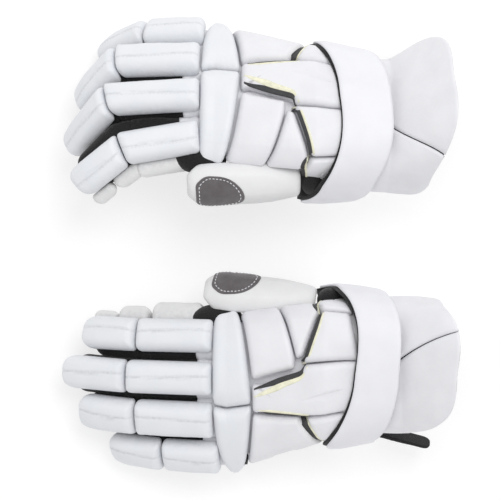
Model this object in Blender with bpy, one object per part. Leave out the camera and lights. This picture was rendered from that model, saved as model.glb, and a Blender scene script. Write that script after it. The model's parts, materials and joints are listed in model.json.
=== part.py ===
"""A pair of white segmented hockey gloves, palm down on a surface.

Each glove is modelled in one right-hand frame: x towards the fingertips, y towards the thumb, z out of
the back of the hand. An empty carries it, and the left glove's empty is mirrored across y. Empties on
the knuckle, middle and thumb hinges carry the fingers. Lengths are in millimetres until `mm` scales
them; angles are in degrees.
"""

import math

import bmesh
import bpy
from mathutils import Matrix, Vector

# Driving dimensions, mm and degrees
MM = 0.001
GAP = 0.3  # between neighbouring solids
SUPERELLIPSE = 2.6  # exponent of the hand's cross-section

HAND_FRONT = 104  # open front of the hand shell, at the knuckles
SHELL_WALL = 3
KNUCKLE_ARCH = 116  # radius of the row of knuckles
THUMB_EDGE = (73, 58)  # y of the hand shell's edge towards the thumb, at the wrist and at the knuckles
LITTLE_EDGE = (-31, -66)  # and towards the little finger, where the hand narrows more at the wrist
WRIST_Z = -10  # height of the hand section's centre at the wrist, over the one at the knuckles
OVER, UNDER = (35, 10), (42, 12)  # the section's heights over and under its centre
BACK_PAD_THICK = 12.5
PAD_LIFT = 0.7  # of the flat-faced back pads over the facets of the shell
CROWN_MM = 9  # distance from its edge at which a pad is at its full height
WRIST_PAD_THICK = 6  # the back pads thin out where the strap crosses them

STALL_WIDTH, STALL_HEIGHT, STALL_WALL = 22, 24, 1.8
PAD_THICK = 14
HINGE_ABOVE_STALL = 6  # height of a finger hinge over the middle of its stall
FINGER_ARCH = 112  # radius through the middles of the stalls
KNUCKLE_Y = -4  # of the middle of the row of knuckles
FINGER_SIDES = 12  # facets round a finger pad or stall
PIECE_GAP = 1.0  # between the end of one finger piece and the next
OPEN_BACK, OPEN_PALM = 8, 50  # wedge angles left at a finger hinge, above and below it
HINGE_TILT = 0.25  # share of the arch angle that a finger's hinges lean by; its section leans by all of it

THUMB_HINGE = (30, 71.5, -24)
THUMB_LENGTH = 96
THUMB_HALF, THUMB_TAPER = 12.5, 0.42  # half-width, and the share of it lost at the hinge
THUMB_YAW, THUMB_PITCH = 5, 1
THUMB_PAD_THICK = 5.2
THUMB_HOLE = (12, 60)  # along the thumb-side wall of the hand shell

STRAP_WALL, CUFF_WALL = 3, 4
WRIST_SKEW = 25  # angle towards the thumb at which the strap and the cuff reach back furthest
WRIST_CENTRE_Z = -14
STRAP_SPAN = (10, -40)  # x between which the strap tapers
STRAP_LITTLE, STRAP_THUMB, STRAP_HALF_HEIGHT = (-51, -41), (89, 82), (53, 51)
CUFF_HINGE_X = -42
CUFF_SPAN = (-44, -94)  # x between which the cuff flares
CUFF_LITTLE, CUFF_THUMB, CUFF_OVER = -36.5, 77.5, 41.5  # its edges and height at the strap
CUFF_UNDER = (40, 52)
RIM_CENTRE_Z = -3
CUFF_SEAM = -150  # where the two panels meet under the wrist
TAB_ANGLE, TAB_LIFT = -103, 16  # where it leaves the strap, and how far it stands off the cuff
TAB_LENGTH, TAB_WIDTH, TAB_THICK = 46, 20, 3

# finger: (arch angle, knuckle x, pad width, base pad length, tip pad length)
FINGERS = {
    "index": (24, 116, 28.5, 64, 52.5),
    "middle": (8, 116, 28.5, 73, 62),
    "ring": (-8, 116, 31, 66, 54.5),
    "pinky": (-24, 112, 29.5, 48, 51),
}

# How each glove lies. strap is the x of the strap's front edge on the back of the wrist. rim gives y of
# the cuff's edges towards the little finger and the thumb, and its height over the centre. slit is where
# the cuff's panels meet on the back: angle at the strap, angle at the rim. curl gives each finger's
# knuckle pitch, sideways lean, middle-joint bend and the sideways swing of its tip.
GLOVES = {
    "right": {
        "place": (73, 133),
        "roll": 32,
        "pitch": -2.6,
        "yaw": -2,
        "mirror": 1,
        "strap": -2,
        "rim": (-60, 85, 78),
        "slit": (20, 70),
        "curl": {
            "index": (10, 8, 24, 20),
            "middle": (10, 0, 48, 21),
            "ring": (10, -3, 45, 19),
            "pinky": (10, -4, 33, -6),
        },
    },
    "left": {
        "place": (85, -119),
        "roll": 12,
        "pitch": 5.2,
        "yaw": 0,
        "mirror": -1,
        "strap": -9,
        "rim": (-37, 76, 61),
        "slit": (8, 44),
        "curl": {
            "index": (8, 0, 13, 0),
            "middle": (8, 0, 13, 0),
            "ring": (8, 0, 13, 0),
            "pinky": (8, 0, 13, 0),
        },
    },
}

# name: (colour, roughness)
LOOKS = {
    "white_leather": ((0.86, 0.86, 0.89), 0.55),
    "pale_leather": ((0.80, 0.82, 0.85), 0.55),
    "black_mesh": ((0.02, 0.02, 0.02), 0.8),
    "grey_suede": ((0.11, 0.10, 0.11), 0.9),
    "white_webbing": ((0.88, 0.88, 0.91), 0.7),
    "hook_tape": ((0.015, 0.015, 0.015), 0.9),
}

# Outlines on the back of the hand: (x, angle round the section from the middle of the back)
BACK_PADS = {
    "knuckle_roll_radial": [(114, 82), (96, 82), (83.5, -3.5), (114, -1)],
    "knuckle_roll_ulnar": [(114, -2.4), (83.5, -5), (91, -64), (94, -86), (101, -86), (106, -66), (112, -30)],
    "back_pad_index": [(93, 80), (60, 80), (45, 14.6), (45, 7.6), (81.5, 5.3)],
    "back_pad_wedge": [(57, 80), (15, 80), (5, 54), (-2, 35), (-8, 9.4), (36, 9), (43, 15.6)],
    "back_pad_centre": [(81, 2.2), (38, 4.6), (35, 7.4), (-8, 7.4), (-6, -33), (35, -24.8), (81, -8.4)],
    "back_pad_ulnar": [(81, -11), (37, -27.8), (-4, -36), (6, -62), (27, -100), (84, -100), (89, -80)],
}
THUMB_PATCH = [(89, 41), (80.5, 13), (49, 67), (50, 91), (69, 104), (89, 100)]


def mm(*values):
    return Vector(values) * MM


def between(a, b, t):
    return a + (b - a) * t


def material(look):
    if look in bpy.data.materials:
        return bpy.data.materials[look]
    colour, roughness = LOOKS[look]
    made = bpy.data.materials.new(look)
    made.use_nodes = True
    shader = made.node_tree.nodes["Principled BSDF"]
    shader.inputs["Base Color"].default_value = (*colour, 1)
    shader.inputs["Roughness"].default_value = roughness
    return made


def add_empty(name, parent, matrix):
    empty = bpy.data.objects.new(name, None)
    bpy.context.scene.collection.objects.link(empty)
    empty.parent = parent
    empty.matrix_basis = matrix
    return empty


def add_object(name, bm, look, parent):
    """Link the bmesh as an object under parent, with its own copy of the look and outward faces."""
    bmesh.ops.delete(bm, geom=[v for v in bm.verts if not v.link_faces], context="VERTS")
    bmesh.ops.recalc_face_normals(bm, faces=bm.faces)
    mesh = bpy.data.meshes.new(name)
    bm.to_mesh(mesh)
    bm.free()
    mesh.shade_smooth()
    mesh.set_sharp_from_angle(angle=math.radians(40))
    own = material(look).copy()
    own.name = f"{name}_{look}"
    mesh.materials.append(own)
    added = bpy.data.objects.new(name, mesh)
    bpy.context.scene.collection.objects.link(added)
    added.parent = parent
    return added


def loft(rings):
    """Closed solid through rings of points, capped at both ends."""
    bm = bmesh.new()
    made = [[bm.verts.new(p) for p in ring] for ring in rings]
    for ring, following in zip(made, made[1:]):
        for j in range(len(ring)):
            k = (j + 1) % len(ring)
            bm.faces.new((ring[j], ring[k], following[k], following[j]))
    bm.faces.new(made[0])
    bm.faces.new(made[-1])
    return bm


def shell(outer, inner, wrap=True, closed_end=False, is_hole=None):
    """Solid between two grids of points; wrap joins each row's ends, closed_end caps the last row."""
    bm = bmesh.new()
    skins = [[[bm.verts.new(p) for p in row] for row in grid] for grid in (outer, inner)]
    rows, columns = len(outer), len(outer[0])
    across = columns if wrap else columns - 1

    def kept(i, j):
        if wrap:
            j %= columns
        in_grid = 0 <= i < rows - 1 and 0 <= j < across
        return in_grid and not (is_hole and is_hole(i, j))

    def corner(skin, i, j):
        return skin[i][j % columns]

    for i in range(rows - 1):
        for j in range(across):
            if not kept(i, j):
                continue
            square = [(i, j), (i, j + 1), (i + 1, j + 1), (i + 1, j)]
            beyond = [(i - 1, j), (i, j + 1), (i + 1, j), (i, j - 1)]
            for skin in skins:
                bm.faces.new([corner(skin, *c) for c in square])
            for side, cell in enumerate(beyond):
                capped = closed_end and cell[0] == rows - 1
                if kept(*cell) or capped:
                    continue
                a, b = square[side], square[(side + 1) % 4]
                bm.faces.new([corner(skins[s], *c) for s, c in ((0, a), (0, b), (1, b), (1, a))])
    if closed_end:
        for skin in skins:
            bm.faces.new(skin[-1])
    return bm


# --- the hand's cross-section ---------------------------------------------------------------------


def hand_section(x):
    """Centre, half-width, heights over and under the centre, and arch curvature of the hand at x."""
    t = min(1, max(0, x / HAND_FRONT))
    thumb, little = between(*THUMB_EDGE, t), between(*LITTLE_EDGE, t**1.6)
    centre = (thumb + little) / 2, between(WRIST_Z, 0, t)
    return centre, (thumb - little) / 2, between(*OVER, t), between(*UNDER, t), t / KNUCKLE_ARCH


def signed_power(value, power):
    return math.copysign(abs(value) ** power, value)


def on_hand(x, angle, offset):
    """Point over the hand's section: angle from the middle of the back towards the thumb."""
    (yc, zc), half, over, under, curve = hand_section(x)
    a = math.radians(angle)
    height = over if math.cos(a) > 0 else under
    slope = Vector((math.sin(a) / half, math.cos(a) / height)).normalized()
    s = half * signed_power(math.sin(a), 2 / SUPERELLIPSE) + slope.x * offset
    n = height * signed_power(math.cos(a), 2 / SUPERELLIPSE) + slope.y * offset
    if curve == 0:
        return mm(x, yc + s, zc + n)
    radius = 1 / curve
    return mm(x, yc + (radius + n) * math.sin(s / radius), zc + (radius + n) * math.cos(s / radius) - radius)


def ring_on(section, x_at, count=24):
    """A ring of points round a section, whose x may vary round it."""
    return [section(x_at(360 * j / count), 360 * j / count) for j in range(count)]


def back_share(angle, power):
    """1 on the back of the wrist, a little towards the thumb, falling to 0 round the sides."""
    return max(0, math.cos(math.radians(angle - WRIST_SKEW))) ** power


# --- hand -------------------------------------------------------------------------------------------


def add_hand_shell(side, glove):
    columns, rows = 24, 8
    rear, rear_on_back = -10, -33

    def grid(offset):
        rings = []
        for i in range(rows):
            t = i / (rows - 1)

            def x_at(angle):
                return between(between(rear, rear_on_back, back_share(angle, 1.5)), HAND_FRONT, t)

            rings.append(ring_on(lambda x, a: on_hand(x, a, offset), x_at, columns))
        return rings

    def is_hole(i, j):
        """The thumb comes out of the lower half of the thumb-side wall."""
        x = between(rear, HAND_FRONT, (i + 0.5) / (rows - 1))
        return THUMB_HOLE[0] < x < THUMB_HOLE[1] and 90 < 360 * (j + 0.5) / columns < 135

    bm = shell(grid(0), grid(-SHELL_WALL), is_hole=is_hole)
    add_object(f"{side}_hand_shell", bm, "grey_suede", glove)


def edge_distance(point, outline):
    """Distance in mm from a point on the back of the hand to the nearest edge of an outline."""
    nearest = math.inf
    for a, b in zip(outline, outline[1:] + outline[:1]):
        along = b - a
        t = min(1, max(0, (point - a).dot(along) / along.length_squared))
        nearest = min(nearest, (point - a - along * t).length)
    return nearest


def add_outlined_pad(name, outline, surface, heights, look, parent, steps_mm=(17, 12), angle_mm=0.95):
    """Crowned pad over an outline of (x, angle) corners, on a surface(x, angle, height).

    heights is its height at the edge and a function of (x, angle) for its full height; the crown is
    reached CROWN_MM inside the edge. angle_mm is about the length of a degree round the surface.
    """
    edge_height, full_height = heights
    flat = [Vector((x, angle * angle_mm)) for x, angle in outline]
    bm = bmesh.new()
    bm.faces.new([bm.verts.new((*p, 0)) for p in flat])
    low = [min(p[k] for p in flat) for k in (0, 1)]
    high = [max(p[k] for p in flat) for k in (0, 1)]
    for k, normal in enumerate(((1, 0, 0), (0, 1, 0))):
        steps = max(2, round((high[k] - low[k]) / steps_mm[k]))
        for i in range(1, steps):
            at = [0, 0, 0]
            at[k] = between(low[k], high[k], i / steps)
            everything = bm.verts[:] + bm.edges[:] + bm.faces[:]
            bmesh.ops.bisect_plane(bm, geom=everything, plane_co=at, plane_no=normal, dist=1e-4)
    bmesh.ops.triangulate(bm, faces=bm.faces)
    top = bmesh.ops.extrude_face_region(bm, geom=bm.faces[:])["geom"]
    top = {v for v in top if isinstance(v, bmesh.types.BMVert)}
    for v in bm.verts:
        place = v.co.xy
        height = PAD_LIFT
        if v in top:
            crown = min(1, edge_distance(place, flat) / CROWN_MM)
            full = full_height(place.x, place.y / angle_mm)
            height += between(min(edge_height, full), full, math.sin(crown * math.pi / 2))
        v.co = surface(place.x, place.y / angle_mm, height)
    return add_object(name, bm, look, parent)


def back_pad_height(x, angle):
    """Full height of a back pad: it thins out towards the strap and round the sides of the hand."""
    along = min(1, max(0, (x + 6) / 26))
    side = min(1, max(0, (abs(angle) - 50) / 40))
    return between(WRIST_PAD_THICK, BACK_PAD_THICK, along) * (1 - 0.45 * side)


def add_back_pads(side, glove):
    for name, outline in BACK_PADS.items():
        look = "pale_leather" if name.startswith("knuckle") else "white_leather"
        edge = 8 if name.startswith("knuckle") else 5
        add_outlined_pad(f"{side}_{name}", outline, on_hand, (edge, back_pad_height), look, glove)


# --- fingers ----------------------------------------------------------------------------------------


def trim(x_hinge, away, normal):
    """x of a finger piece's end at (y, z): near the plane that halves the bend at its hinge.

    away is 1 where the piece starts at the hinge and -1 where it ends there.
    """

    def x_at(y, z):
        wedge = math.tan(math.radians(OPEN_BACK / 2)) * max(0, z)
        wedge += math.tan(math.radians(OPEN_PALM / 2)) * max(0, -z)
        offset = away * (PIECE_GAP / 2 + wedge)
        return x_hinge + (offset - normal.y * y - normal.z * z) / normal.x

    return x_at


def half_bend(bend, sideways):
    """Normal of the plane halfway between a piece and the next one, in the first piece's frame."""
    turn = Matrix.Rotation(math.radians(sideways), 3, "Z") @ Matrix.Rotation(math.radians(bend), 3, "Y")
    return (Vector((1, 0, 0)) + turn @ Vector((1, 0, 0))).normalized()


def half_bend_back(bend, sideways):
    """The same plane in the next piece's frame."""
    turn = Matrix.Rotation(math.radians(sideways), 3, "Z") @ Matrix.Rotation(math.radians(bend), 3, "Y")
    return (turn.inverted() @ Vector((1, 0, 0)) + Vector((1, 0, 0))).normalized()


def lean_section(points, lean):
    """Turn (y, z) points about the middle of the stall."""
    c, s = math.cos(math.radians(lean)), math.sin(math.radians(lean))
    mid = -HINGE_ABOVE_STALL
    return [(y * c + (z - mid) * s, mid + (z - mid) * c - y * s) for y, z in points]


def pad_section(width, grow):
    """Round-cornered section of a finger pad: (y, z) points, its flat side down."""
    points = []
    base = STALL_HEIGHT / 2 - HINGE_ABOVE_STALL + GAP
    for j in range(FINGER_SIDES):
        a = 2 * math.pi * (j + 0.5) / FINGER_SIDES
        y = width / 2 * signed_power(math.cos(a), 0.55)
        z = PAD_THICK / 2 * signed_power(math.sin(a), 0.6)
        points.append((y * grow, base + PAD_THICK / 2 + z * grow))
    return points


def stall_section(inset):
    """Oval section of a finger stall, narrower on the palm side."""
    points = []
    for j in range(FINGER_SIDES):
        a = 2 * math.pi * (j + 0.5) / FINGER_SIDES
        y = (STALL_WIDTH / 2 - inset) * signed_power(math.cos(a), 0.75)
        z = (STALL_HEIGHT / 2 - inset) * signed_power(math.sin(a), 0.75)
        narrow = 1 - 0.22 * max(0, -z / (STALL_HEIGHT / 2))
        points.append((y * narrow, z - HINGE_ABOVE_STALL))
    return points


def add_pad(name, width, start, end, parent, lean, round_tip):
    """Finger pad lofted between the two trimmed ends, with rounded shoulders."""
    stations = [(0, 0.87), (0.09, 0.99), (0.5, 1.02), (0.91, 0.99), (1, 0.87)]
    if round_tip:
        stations[-2:] = [(0.86, 0.95), (1, 0.68)]
    rings = []
    for t, grow in stations:
        section = lean_section(pad_section(width, grow), lean)
        rings.append([mm(between(start(y, z), end(y, z), t), y, z) for y, z in section])
    add_object(name, loft(rings), "pale_leather", parent)


def add_stall(name, start, end, parent, lean, closed):
    """Hollow finger stall between two trimmed ends; a fingertip's far end is a closed dome."""
    grids = []
    for inset in (0, STALL_WALL):
        stations = [(0, 1), (1, 1)]
        if closed:
            stations = [(0, 1), (0.72, 0.98), (0.92, 0.78), (1, 0.42)]
        rings = []
        for t, grow in stations:
            ring = []
            for y, z in lean_section(stall_section(inset), lean):
                centre = -HINGE_ABOVE_STALL
                y, z = y * grow, centre + (z - centre) * grow
                far = end(y, z) - (inset if closed else 0)
                ring.append(mm(between(start(y, z), far, t), y, z))
            rings.append(ring)
        grids.append(rings)
    add_object(name, shell(*grids, closed_end=closed), "black_mesh", parent)


def add_finger(side, finger, glove, curl):
    arch, knuckle_x, width, base_length, tip_length = FINGERS[finger]
    pitch, spread, bend, swing = curl
    lean = arch * (1 - HINGE_TILT)
    radius = FINGER_ARCH + HINGE_ABOVE_STALL
    a = math.radians(arch)
    knuckle_y, knuckle_z = KNUCKLE_Y + radius * math.sin(a), radius * math.cos(a) - FINGER_ARCH
    knuckle_at = Matrix.Translation(mm(knuckle_x, knuckle_y, knuckle_z))
    turn = Matrix.Rotation(-a * HINGE_TILT, 4, "X") @ Matrix.Rotation(math.radians(spread), 4, "Z")
    knuckle = add_empty(
        f"{side}_{finger}_knuckle", glove, knuckle_at @ turn @ Matrix.Rotation(math.radians(pitch), 4, "Y")
    )
    middle_at = Matrix.Translation(mm(base_length, 0, 0)) @ Matrix.Rotation(math.radians(swing), 4, "Z")
    middle = add_empty(
        f"{side}_{finger}_middle_joint", knuckle, middle_at @ Matrix.Rotation(math.radians(bend), 4, "Y")
    )

    base_start = trim(0, 1, half_bend_back(pitch, spread))
    base_end = trim(base_length, -1, half_bend(bend, swing))
    tip_start = trim(0, 1, half_bend_back(bend, swing))

    def tip_end(y, z):
        return tip_length - 6

    def pad_tip_end(y, z):
        return tip_length + 0.25 * z - 5

    add_pad(f"{side}_{finger}_base_pad", width, base_start, base_end, knuckle, lean, False)
    add_stall(f"{side}_{finger}_base_stall", base_start, base_end, knuckle, lean, False)
    add_pad(f"{side}_{finger}_tip_pad", width, tip_start, pad_tip_end, middle, lean, True)
    add_stall(f"{side}_{finger}_tip_stall", tip_start, tip_end, middle, lean, True)


# --- thumb ------------------------------------------------------------------------------------------


def thumb_half(x):
    """Half-width of the thumb at x along it: it swells from the hinge and rounds off at the tip."""
    swell = 1 - THUMB_TAPER * (1 - min(1, x / 45)) ** 2
    far = max(0, (x - 0.72 * THUMB_LENGTH) / (0.28 * THUMB_LENGTH))
    return THUMB_HALF * swell * math.sqrt(1 - 0.62 * far**2.4)


def on_thumb(x, angle, offset):
    """Point over the thumb: angle from its back towards its outer side."""
    a = math.radians(angle)
    half = thumb_half(x) + offset
    return mm(x, half * math.sin(a), (half + 1.5) * math.cos(a))


def add_thumb(side, glove):
    yaw = Matrix.Rotation(math.radians(THUMB_YAW), 4, "Z")
    pitch = Matrix.Rotation(math.radians(THUMB_PITCH), 4, "Y")
    hinge = add_empty(f"{side}_thumb_hinge", glove, Matrix.Translation(mm(*THUMB_HINGE)) @ yaw @ pitch)

    def skin(stations, offset):
        return [ring_on(lambda x, a: on_thumb(x, a, offset), lambda a, x=x: x, 14) for x in stations]

    outer, inner = skin((3, 22, 45, 68, 82, 92), 0), skin((3, 22, 45, 68, 81, 90), -STALL_WALL)
    add_object(f"{side}_thumb_stall", shell(outer, inner, closed_end=True), "grey_suede", hinge)
    outline = [(2, 110), (2, 10), (30, -20), (84, -30), (94, 0), (94, 80), (84, 110)]
    fine = (14, 5)

    def over_stall(x, angle, offset):
        return on_thumb(x, angle, offset + GAP)

    def over_pad(x, angle, offset):
        return on_thumb(x, angle, THUMB_PAD_THICK + offset + 3 * GAP)

    def pad_height(x, angle):
        return THUMB_PAD_THICK

    def patch_height(x, angle):
        return 1

    for name, outline, surface, heights, look in (
        ("thumb_pad", outline, over_stall, (3.4, pad_height), "white_leather"),
        ("thumb_patch", THUMB_PATCH, over_pad, (1, patch_height), "grey_suede"),
    ):
        add_outlined_pad(f"{side}_{name}", outline, surface, heights, look, hinge, fine, 0.3)


# --- wrist ------------------------------------------------------------------------------------------


def wrist_point(x, angle, edges, centre_z, heights, exponent):
    """Point of the strap's or the cuff's section: edges towards the little finger and the thumb."""
    a = math.radians(angle)
    middle, half = (edges[0] + edges[1]) / 2, (edges[1] - edges[0]) / 2
    height = heights[0] if math.cos(a) > 0 else heights[1]
    y = middle + half * signed_power(math.sin(a), 2 / exponent)
    return mm(x, y, centre_z + height * signed_power(math.cos(a), 2 / exponent))


def strap_point(x, angle, inset):
    """Point on the strap, which tapers with the wrist."""
    t = min(1, max(0, (STRAP_SPAN[0] - x) / (STRAP_SPAN[0] - STRAP_SPAN[1])))
    edges = between(*STRAP_LITTLE, t) + inset, between(*STRAP_THUMB, t) - inset
    height = between(*STRAP_HALF_HEIGHT, t) - inset
    return wrist_point(x, angle, edges, WRIST_CENTRE_Z, (height, height), SUPERELLIPSE)


def strap_front(angle, on_back):
    """x of the strap's front edge, which slants forward round the sides, most under the thumb."""
    towards_thumb = math.sin(math.radians(angle))
    return between(24 + 4 * towards_thumb, on_back, back_share(angle, 1.1 - 0.3 * towards_thumb))


def strap_rear(angle):
    return between(-20, -44.5, back_share(angle, 0.9))


def add_strap(side, glove, on_back):
    def front(angle):
        return strap_front(angle, on_back)

    def middle(angle):
        return (front(angle) + strap_rear(angle)) / 2

    def grid(inset):
        return [ring_on(lambda x, a: strap_point(x, a, inset), edge) for edge in (strap_rear, middle, front)]

    add_object(f"{side}_wrist_strap", shell(grid(0), grid(STRAP_WALL)), "white_webbing", glove)


def cuff_point(x, angle, inset, rim):
    """Point on the cuff: it flares from the wrist to the rim, which is squarer."""
    t = min(1, max(0, (CUFF_SPAN[0] - x) / (CUFF_SPAN[0] - CUFF_SPAN[1])))
    flare = t**1.3
    edges = between(CUFF_LITTLE, rim[0], t) + inset, between(CUFF_THUMB, rim[1], t) - inset
    heights = between(CUFF_OVER, rim[2], flare) - inset, between(*CUFF_UNDER, flare) - inset
    centre_z = between(WRIST_CENTRE_Z, RIM_CENTRE_Z, flare)
    return wrist_point(x, angle, edges, centre_z, heights, between(SUPERELLIPSE, 3.6, t))


def cuff_front(angle):
    return between(-19, -41, back_share(angle, 0.9))


def cuff_rim(angle):
    """x of the rim: it reaches back furthest over the back of the wrist."""
    towards_thumb = math.sin(math.radians(angle))
    return between(-55 - 4 * towards_thumb, CUFF_SPAN[1], back_share(angle, 0.85 - 0.15 * towards_thumb))


def add_cuff(side, glove, rim, slit):
    hinge_at = mm(CUFF_HINGE_X, (CUFF_LITTLE + CUFF_THUMB) / 2, WRIST_CENTRE_Z)
    hinge = add_empty(f"{side}_cuff_hinge", glove, Matrix.Translation(hinge_at))
    margin = 1.2  # degrees between the two panels' edges

    def panel(first, last, columns=14, rows=5):
        """Panel between two edges, each an angle at the strap and one at the rim."""
        grids = []
        for inset in (0, CUFF_WALL):
            rings = []
            for i in range(rows):
                t = i / (rows - 1)
                ring = []
                for j in range(columns):
                    angle = between(between(*first, t), between(*last, t), j / (columns - 1))
                    x = between(cuff_front(angle), cuff_rim(angle), t)
                    ring.append(cuff_point(x, angle, inset, rim) - hinge_at)
                rings.append(ring)
            grids.append(rings)
        return shell(*grids, wrap=False)

    seam = (CUFF_SEAM, CUFF_SEAM)
    back = panel([a + margin for a in seam], [a - margin for a in slit])
    thumb_side = panel([a + margin for a in slit], [a + 360 - margin for a in seam])
    add_object(f"{side}_cuff_back", back, "white_leather", hinge)
    add_object(f"{side}_cuff_thumb_side", thumb_side, "white_leather", hinge)


def add_tab(side, glove):
    """Hook tape at the strap's end, hinged across the strap's rear edge beside the little finger."""
    x = strap_rear(TAB_ANGLE) - 1
    here, onward = strap_point(x, TAB_ANGLE, 0), strap_point(x, TAB_ANGLE + 1, 0)
    back = Vector((1, 0, 0))
    outward = back.cross(onward - here).normalized()
    if outward.y > 0:
        outward = -outward
    frame = Matrix((back, outward.cross(back), outward)).transposed().to_4x4()
    lift = Matrix.Rotation(math.radians(TAB_LIFT), 4, "Y")
    hinge = add_empty(f"{side}_tab_hinge", glove, Matrix.Translation(here) @ frame @ lift)
    half, end = TAB_WIDTH / 2, -TAB_LENGTH
    outline = [(0, -half), (end + 6, -half), (end, -half + 6), (end, half - 6), (end + 6, half), (0, half)]
    rings = [[mm(x, y, z) for x, y in outline] for z in (-TAB_THICK, 0)]
    add_object(f"{side}_strap_tab", loft(rings), "hook_tape", hinge)


# --- the pair ---------------------------------------------------------------------------------------


def glove_points(side):
    """World points of every solid of one glove."""
    bpy.context.view_layer.update()
    own = [o for o in bpy.data.objects if o.type == "MESH" and o.name.startswith(side)]
    return [o.matrix_world @ v.co for o in own for v in o.data.vertices]


def add_glove(side):
    lie = GLOVES[side]
    yaw = Matrix.Rotation(math.radians(180 + lie["yaw"]), 4, "Z")
    pitch = Matrix.Rotation(math.radians(lie["pitch"]), 4, "Y")
    mirror = Matrix.Diagonal((1, lie["mirror"], 1, 1))
    roll = Matrix.Rotation(math.radians(lie["roll"]), 4, "X")
    place = Matrix.Translation(mm(*lie["place"], 0))
    glove = add_empty(f"{side}_glove", None, place @ yaw @ pitch @ mirror @ roll)
    add_hand_shell(side, glove)
    add_back_pads(side, glove)
    for finger, curl in lie["curl"].items():
        add_finger(side, finger, glove, curl)
    add_thumb(side, glove)
    add_strap(side, glove, lie["strap"])
    add_cuff(side, glove, lie["rim"], lie["slit"])
    add_tab(side, glove)
    glove.location.z -= min(p.z for p in glove_points(side))


def centre_pair():
    """Put the origin under the middle of the pair."""
    points = glove_points("right") + glove_points("left")
    for axis in (0, 1):
        middle = (min(p[axis] for p in points) + max(p[axis] for p in points)) / 2
        for side in GLOVES:
            bpy.data.objects[f"{side}_glove"].location[axis] -= middle


def main():
    for old in list(bpy.data.objects):
        bpy.data.objects.remove(old)
    for side in GLOVES:
        add_glove(side)
    centre_pair()


main()
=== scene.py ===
"""Looks of the pair of white padded gloves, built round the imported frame.

Each glove is modelled in the same right-hand frame as its solids: x towards the fingertips, y towards
the thumb, z out of the back of the hand. Lengths are in millimetres until `mm` scales them, and angles
are in degrees.
"""

import json
import math

import bmesh
import bpy
import numpy as np
from mathutils import Matrix, Vector, noise
from mathutils.bvhtree import BVHTree


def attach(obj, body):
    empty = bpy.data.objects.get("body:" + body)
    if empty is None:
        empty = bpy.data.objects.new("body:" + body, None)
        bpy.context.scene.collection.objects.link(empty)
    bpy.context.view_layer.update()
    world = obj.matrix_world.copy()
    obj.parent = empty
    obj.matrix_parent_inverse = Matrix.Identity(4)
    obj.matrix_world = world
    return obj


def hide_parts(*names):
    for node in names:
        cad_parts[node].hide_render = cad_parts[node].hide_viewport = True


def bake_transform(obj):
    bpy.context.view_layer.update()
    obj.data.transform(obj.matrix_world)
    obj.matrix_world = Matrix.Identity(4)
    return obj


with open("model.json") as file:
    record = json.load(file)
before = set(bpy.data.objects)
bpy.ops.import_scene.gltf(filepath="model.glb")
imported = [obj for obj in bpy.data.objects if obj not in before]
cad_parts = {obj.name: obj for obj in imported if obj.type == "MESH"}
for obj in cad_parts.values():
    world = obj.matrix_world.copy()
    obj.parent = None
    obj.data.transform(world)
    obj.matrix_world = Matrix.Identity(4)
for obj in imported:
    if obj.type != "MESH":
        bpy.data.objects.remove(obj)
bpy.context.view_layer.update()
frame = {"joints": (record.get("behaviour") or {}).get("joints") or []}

# --- driving dimensions, as in the CAD source --------------------------------------------------------

MM = 0.001
SUPERELLIPSE = 2.6
HAND_FRONT = 104
KNUCKLE_ARCH = 116
THUMB_EDGE, LITTLE_EDGE, WRIST_Z = (73, 58), (-31, -66), -10
OVER, UNDER = (35, 10), (42, 12)
STALL_HEIGHT = 24
PAD_THICK = 14
HINGE_ABOVE_STALL = 6
FINGER_ARCH, KNUCKLE_Y = 112, -4
HINGE_TILT = 0.25
THUMB_HINGE = (30, 71.5, -24)
THUMB_LENGTH, THUMB_YAW, THUMB_PITCH = 96, 5, 1
THUMB_HALF, THUMB_TAPER = 12.5, 0.42
WRIST_SKEW, WRIST_CENTRE_Z = 25, -14
STRAP_SPAN, STRAP_LITTLE, STRAP_THUMB, STRAP_HALF_HEIGHT = (10, -40), (-51, -41), (89, 82), (53, 51)
CUFF_HINGE_X, CUFF_SPAN = -42, (-44, -94)
CUFF_LITTLE, CUFF_THUMB, CUFF_OVER = -36.5, 77.5, 41.5
CUFF_UNDER, RIM_CENTRE_Z = (40, 52), -3
CUFF_SEAM = -150
TAB_ANGLE, TAB_LIFT = -103, 16
TAB_LENGTH, TAB_WIDTH, TAB_THICK = 46, 20, 3

# finger: (arch angle, knuckle x, pad width, base pad length, tip pad length)
FINGERS = {
    "index": (24, 116, 28.5, 64, 52.5),
    "middle": (8, 116, 28.5, 73, 62),
    "ring": (-8, 116, 31, 66, 54.5),
    "pinky": (-24, 112, 29.5, 48, 51),
}
# How each glove lies. strap is the x of the strap's front edge on the back of the wrist. rim gives y of
# the cuff's edges towards the little finger and the thumb, and its height over the centre. slit is where
# the cuff's panels meet on the back: angle at the strap, angle at the rim. curl gives each finger's
# knuckle pitch, sideways lean, middle-joint bend and the sideways swing of its tip.
GLOVES = {
    "right": {
        "roll": 32, "pitch": -2.6, "yaw": -2, "mirror": 1, "strap": -2, "rim": (-60, 85, 78), "slit": (20, 70),
        "curl": {
            "index": (10, 8, 24, 20), "middle": (10, 0, 48, 21),
            "ring": (10, -3, 45, 19), "pinky": (10, -4, 33, -6),
        },
    },
    "left": {
        "roll": 12, "pitch": 5.2, "yaw": 0, "mirror": -1, "strap": -9, "rim": (-37, 76, 61), "slit": (8, 44),
        "curl": {finger: (8, 0, 13, 0) for finger in FINGERS},
    },
}

# --- soft shapes --------------------------------------------------------------------------------------

ANGLE_MM = 0.95  # length of one degree of the hand's section, over the back
PAD_STEP = 1.3  # between points round a pad's outline
BACK_PAD_THICK, WRIST_PAD_THICK = 12.5, 6
WIDEST = 0.36  # share of a pad's height at which it is widest
STITCHES_ASIDE = 1.5  # from the sewn line along a finger pad, mm
SLEEVE_SPARE = 1.0  # of a finger sleeve over the width of its pad
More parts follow.
